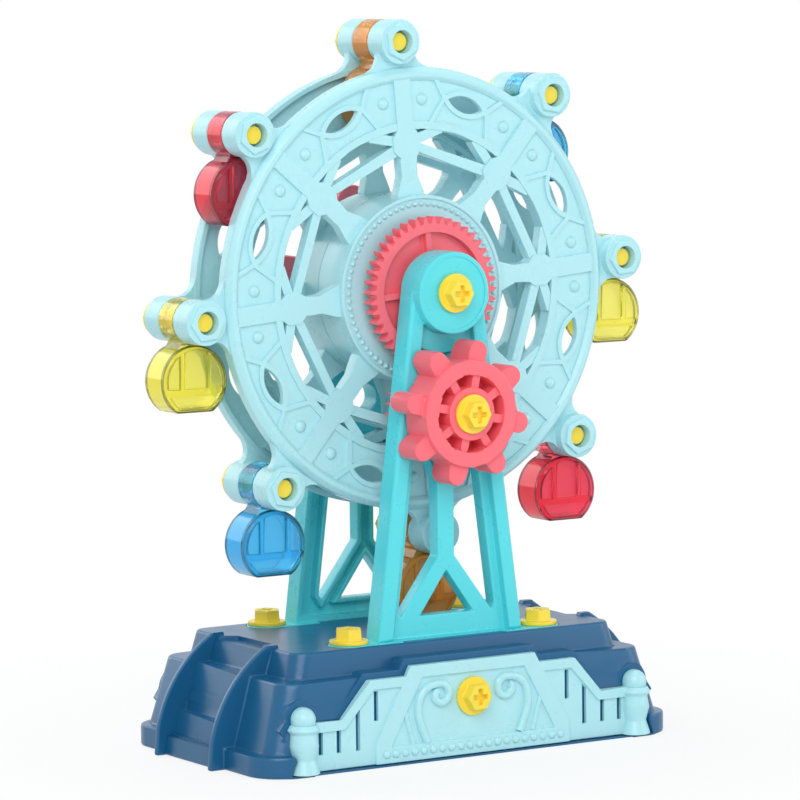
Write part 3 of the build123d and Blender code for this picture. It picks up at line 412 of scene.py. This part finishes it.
# %% Every node gets its soft-edged copy
ROUND = {
    "base_shell": 0.9 * MM,
    "front_tower": 0.8 * MM, "rear_tower": 0.8 * MM,
    "front_wheel": 0.5 * MM, "rear_wheel": 0.5 * MM,
    "front_fence": 0.45 * MM, "rear_fence": 0.45 * MM,
    "drive_gear": 0.22 * MM, "crank_shaft": 0.22 * MM,
    "crank_knob": 1.0 * MM, "rear_hand_wheel": 1.2 * MM,
}
BOLT_ROUND = 0.4 * MM
CABIN_ROUND = 0.35 * MM
for node in sorted(frame["nodes"]):
    width = ROUND.get(node, CABIN_ROUND if node.startswith("cabin_") else BOLT_ROUND)
    moulded(node, width)

# %% [markdown]
# ## Beads and raised ornament
# Both lattice discs carry small domes: a close ring round the hub, and a larger one on each side of every spoke.
# The fence plates carry a row of them. One dome is made from a low sphere squashed along the depth, and the
# whole set is joined in one mesh, because hundreds of objects would be slow.

# %% A set of domes
def dome_row(name, centres, radius, rise, body, slot, rings=6, around=12):
    """Makes a set of domes at the centres, flattened along the depth."""
    mesh = bmesh.new()
    for centre in centres:
        lie = Matrix.Translation(centre) @ Matrix.Rotation(radians(90), 4, "X")
        shape = lie @ Matrix.Diagonal((1, 1, rise / radius, 1))
        bmesh.ops.create_uvsphere(mesh, u_segments=around, v_segments=rings, radius=radius, matrix=shape)
    for face in mesh.faces:
        face.smooth = True
    data = bpy.data.meshes.new(name)
    mesh.to_mesh(data)
    mesh.free()
    piece = bpy.data.objects.new(name, data)
    bpy.context.scene.collection.objects.link(piece)
    data.materials.append(MATERIALS[slot])
    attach(piece, body)


# %% Beads on the discs
FRONT, REAR = -1, 1


def on_wheel(radius, angle, depth, side):
    """Point on the wheel, by its distance from the axle, its angle and its depth from the middle plane."""
    return AXLE + Vector((radius * cos(angle), side * depth, radius * sin(angle)))


HUB_BEADS = 72
HUB_BEAD_RING = 34.6 * MM
HUB_BEAD = 1.15 * MM
HUB_FACE = 17.6 * MM
BAND_BEAD_RING = 76.5 * MM
BAND_BEAD = 2.5 * MM
BAND_BEAD_RISE = 1.5 * MM
BAND_FACE = 14.5 * MM
BAND_BEAD_TURN = radians(6.9)
for side, disc in ((FRONT, "front"), (REAR, "rear")):
    hub = [on_wheel(HUB_BEAD_RING, 2 * pi * k / HUB_BEADS, HUB_FACE, side) for k in range(HUB_BEADS)]
    dome_row(disc + "_hub_beads", hub, HUB_BEAD, HUB_BEAD, "wheel", "pale_aqua", around=10)
    band = [
        on_wheel(BAND_BEAD_RING, FIRST_SPOKE + k * SECTOR + turn, BAND_FACE, side)
        for k in range(SPOKES) for turn in (-BAND_BEAD_TURN, BAND_BEAD_TURN)
    ]
    dome_row(disc + "_band_beads", band, BAND_BEAD, BAND_BEAD_RISE, "wheel", "pale_aqua", around=20)
    print(disc, "disc has", len(hub), "hub beads and", len(band), "band beads")

# %% [markdown]
# ## Scrolls on the fence
# Each fence plate has a bead row along its foot and two mirrored scrolls. A scroll is a round cord that curls in
# on itself, so a curve with a round bevel is the natural tool: its points come from a widening spiral, and the
# curve is turned into a mesh so that its place lies in its vertices.

# %% A round cord
def tube(name, points, radius, body, slot):
    """Makes a round cord along smooth points, as a mesh."""
    curve = bpy.data.curves.new(name, "CURVE")
    curve.dimensions = "3D"
    curve.bevel_depth = radius
    curve.bevel_resolution = 4
    curve.use_fill_caps = True
    spline = curve.splines.new("NURBS")
    spline.points.add(len(points) - 1)
    for point, place in zip(spline.points, points):
        point.co = (*place, 1.0)
    spline.order_u = 3
    spline.use_endpoint_u = True
    holder = bpy.data.objects.new(name + "_curve", curve)
    bpy.context.scene.collection.objects.link(holder)
    bpy.context.view_layer.update()
    data = bpy.data.meshes.new_from_object(holder.evaluated_get(bpy.context.evaluated_depsgraph_get()))
    bpy.data.objects.remove(holder)
    data.name = name
    for face in data.polygons:
        face.use_smooth = True
    piece = bpy.data.objects.new(name, data)
    bpy.context.scene.collection.objects.link(piece)
    data.materials.clear()
    data.materials.append(MATERIALS[slot])
    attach(piece, body)


# %% The line of one scroll
FENCE_FLOOR = 52.4 * MM
SCROLL_LIFT = 0.4 * MM
SCROLL_EYE = Vector((15.6, 26.4)) * MM
SCROLL_START = 1.8 * MM
SCROLL_END = 4.5 * MM
SCROLL_FIRST = radians(45)
SCROLL_SWEEP = radians(315)
SCROLL_OPENING = 0.6
SCROLL_STEPS = 16
SCROLL_TAIL = ((5.2, 4.0), (9.0, 1.2), (10.8, -4.2), (10.2, -10.2), (6.4, -18.6))


def scroll_points(mirror, side):
    """Centre line of one scroll: out of its eye, round below it, over the top and down to the foot rail."""
    points = []
    for step in range(SCROLL_STEPS + 1):
        share = step / SCROLL_STEPS
        angle = SCROLL_FIRST - share * SCROLL_SWEEP
        reach = SCROLL_START + share**SCROLL_OPENING * (SCROLL_END - SCROLL_START)
        points.append(SCROLL_EYE + Vector((cos(angle), sin(angle))) * reach)
    points += [SCROLL_EYE + Vector(place) * MM for place in SCROLL_TAIL]
    return [Vector((mirror * p.x, side * (FENCE_FLOOR + SCROLL_LIFT), p.y)) for p in points]


# %% Ornament on both fence plates
FENCE_RIM = 53.6 * MM
FENCE_BEADS = 20
FENCE_BEAD_PITCH = 4.37 * MM
FENCE_BEAD_Z = 4.7 * MM
FENCE_BEAD = 1.7 * MM
FENCE_BEAD_RISE = 1.1 * MM
SCROLL_TUBE = 1.65 * MM
LEAF = ((32.4, 21.0), (30.4, 14.6), (28.6, 7.6))
LEAF_TUBE = 1.0 * MM
LEAF_LIFT = 0.1 * MM
for side, plate in ((FRONT, "front"), (REAR, "rear")):
    row = [
        Vector(((k - (FENCE_BEADS - 1) / 2) * FENCE_BEAD_PITCH, side * FENCE_RIM, FENCE_BEAD_Z))
        for k in range(FENCE_BEADS)
    ]
    dome_row(plate + "_fence_beads", row, FENCE_BEAD, FENCE_BEAD_RISE, "base", "pale_aqua")
    for mirror, hand in ((-1, "left"), (1, "right")):
        points = scroll_points(mirror, side)
        tube(f"{plate}_fence_scroll_{hand}", points, SCROLL_TUBE, "base", "pale_aqua")
        leaf = [Vector((mirror * x * MM, side * (FENCE_FLOOR + LEAF_LIFT), z * MM)) for x, z in LEAF]
        tube(f"{plate}_fence_leaf_{hand}", leaf, LEAF_TUBE, "base", "pale_aqua")
    print(plate, "fence has", len(row), "beads")

# %% [markdown]
# ## The studio
# The photograph is a product shot: a white sweep, wide soft lights, and hardly any shadow. The floor and the
# world look white only to rays from the camera, mirrors and clear plastic. What lights the toy is set apart, so
# that the colours come out as they are.


# %% White only for the rays that see it
def white_seen_by_camera(tree, lit_socket, seen_socket, target):
    """Mixes what lights the scene with what the camera, reflections and clear plastic see."""
    path = tree.nodes.new("ShaderNodeLightPath")
    either = tree.nodes.new("ShaderNodeMath")
    either.operation = "MAXIMUM"
    any_ray = tree.nodes.new("ShaderNodeMath")
    any_ray.operation = "MAXIMUM"
    tree.links.new(path.outputs["Is Camera Ray"], either.inputs[0])
    tree.links.new(path.outputs["Is Glossy Ray"], either.inputs[1])
    tree.links.new(either.outputs[0], any_ray.inputs[0])
    tree.links.new(path.outputs["Is Transmission Ray"], any_ray.inputs[1])
    mix = tree.nodes.new("ShaderNodeMixShader")
    tree.links.new(any_ray.outputs[0], mix.inputs[0])
    tree.links.new(lit_socket, mix.inputs[1])
    tree.links.new(seen_socket, mix.inputs[2])
    tree.links.new(mix.outputs[0], target)


# %% The world
AMBIENT_COLOUR = (0.66, 0.94, 0.96, 1)
AMBIENT = 0.36
world = bpy.data.worlds.new("studio")
bpy.context.scene.world = world
world.use_nodes = True
tree = world.node_tree
tree.nodes.clear()
ambient = tree.nodes.new("ShaderNodeBackground")
ambient.inputs["Color"].default_value = AMBIENT_COLOUR
ambient.inputs["Strength"].default_value = AMBIENT
seen = tree.nodes.new("ShaderNodeBackground")
seen.inputs["Color"].default_value = (1, 1, 1, 1)
seen.inputs["Strength"].default_value = 1.0
sky_out = tree.nodes.new("ShaderNodeOutputWorld")
white_seen_by_camera(tree, ambient.outputs[0], seen.outputs[0], sky_out.inputs["Surface"])
print("world", world.name, "lights with", AMBIENT)

# %% [markdown]
# The floor is a plain sheet. Close to the toy it shows a little of its own shading, which keeps the soft shadow,
# and further off it fades to the white of the world, so that no horizon shows.

# %% The floor
FLOOR_HALF = 3.0
SHADE_NEAR = 0.10
SHADE_FAR = 0.32
NEAR_WHITE = 0.80
PAPER_TONE = (0.86, 0.86, 0.86, 1)
PAPER_ROUGHNESS = 0.6
PAPER_GLOSS = 0.2
floor_mesh = bmesh.new()
bmesh.ops.create_grid(floor_mesh, x_segments=1, y_segments=1, size=FLOOR_HALF)
floor_data = bpy.data.meshes.new("floor")
floor_mesh.to_mesh(floor_data)
floor_mesh.free()
floor = bpy.data.objects.new("floor", floor_data)
bpy.context.scene.collection.objects.link(floor)
floor_look = bpy.data.materials.new("floor_white")
floor_look.use_nodes = True
floor_nodes = floor_look.node_tree.nodes
paper = floor_nodes["Principled BSDF"]
paper.inputs["Base Color"].default_value = PAPER_TONE
paper.inputs["Roughness"].default_value = PAPER_ROUGHNESS
paper.inputs["Specular IOR Level"].default_value = PAPER_GLOSS
glow = floor_nodes.new("ShaderNodeEmission")
glow.inputs["Strength"].default_value = 1.0
floor_place = floor_nodes.new("ShaderNodeTexCoord")
far_off = floor_nodes.new("ShaderNodeVectorMath")
far_off.operation = "LENGTH"
floor_look.node_tree.links.new(floor_place.outputs["Object"], far_off.inputs[0])
fade = floor_nodes.new("ShaderNodeMapRange")
fade.interpolation_type = "SMOOTHSTEP"
fade.inputs["From Min"].default_value = SHADE_NEAR
fade.inputs["From Max"].default_value = SHADE_FAR
fade.inputs["To Min"].default_value = NEAR_WHITE
fade.inputs["To Max"].default_value = 1.0
floor_look.node_tree.links.new(far_off.outputs["Value"], fade.inputs["Value"])
floor_lit = floor_nodes.new("ShaderNodeMixShader")
floor_look.node_tree.links.new(fade.outputs["Result"], floor_lit.inputs[0])
floor_look.node_tree.links.new(paper.outputs[0], floor_lit.inputs[1])
floor_look.node_tree.links.new(glow.outputs[0], floor_lit.inputs[2])
white_seen_by_camera(
    floor_look.node_tree, paper.outputs[0], floor_lit.outputs[0],
    floor_nodes["Material Output"].inputs["Surface"],
)
floor_data.materials.append(floor_look)
print("floor is white from", SHADE_FAR, "m on")


# %% Soft lamps
def soft_lamp(name, place, aim, size, power):
    """Adds a square soft light that faces a point."""
    light = bpy.data.lights.new(name, "AREA")
    light.shape = "SQUARE"
    light.size = size
    light.energy = power
    lamp = bpy.data.objects.new(name, light)
    bpy.context.scene.collection.objects.link(lamp)
    lamp.location = place
    lamp.rotation_euler = (Vector(aim) - Vector(place)).to_track_quat("-Z", "Y").to_euler()


# %% Each lamp's place and width in metres, and its power in watts
LAMPS = {
    "key": ((-0.8, -1.2, 1.0), 1.2, 17),
    "fill": ((1.2, -0.9, 0.4), 1.1, 6),
    "top": ((0.1, 0.3, 1.5), 1.0, 9),
    "rear": ((-0.5, 1.3, 0.6), 0.9, 5),
}
MIDDLE = (0, 0, 0.15)
for lamp_name, (place, size, power) in LAMPS.items():
    soft_lamp(lamp_name, place, MIDDLE, size, power)

# %% [markdown]
# ## The camera
# The camera stands where the photographer stood: a long lens, left of the front, a little above the axle. Its
# place and lens were worked out from the photograph by matching the wheel's rings and the base's edges.

# %% Camera
CAMERA_PLACE = (-988.23, -1573.94, 327.24)
CAMERA_BACK = Vector((-0.52909, -0.84255, 0.10083))
CAMERA_RIGHT = Vector((0.84687, -0.53180, 0.0))
CAMERA_UP = Vector((0.05362, 0.08539, 0.99490))
CAMERA_ROLL = radians(-0.631)
SENSOR = 36.0
LENS = 206.44
FARTHEST = 20.0
turned_right = CAMERA_RIGHT * cos(CAMERA_ROLL) + CAMERA_UP * sin(CAMERA_ROLL)
turned_up = CAMERA_UP * cos(CAMERA_ROLL) - CAMERA_RIGHT * sin(CAMERA_ROLL)
camera_data = bpy.data.cameras.new("camera")
camera_data.sensor_width = SENSOR
camera_data.lens = LENS
camera_data.clip_end = FARTHEST
camera = bpy.data.objects.new("camera", camera_data)
bpy.context.scene.collection.objects.link(camera)
stand = Matrix((turned_right, turned_up, CAMERA_BACK)).transposed().to_4x4()
stand.translation = Vector(CAMERA_PLACE) * MM
camera.matrix_world = stand
bpy.context.scene.camera = camera
bpy.context.scene.view_settings.view_transform = "Standard"
print("camera", [round(v, 3) for v in camera.location], "lens", LENS)
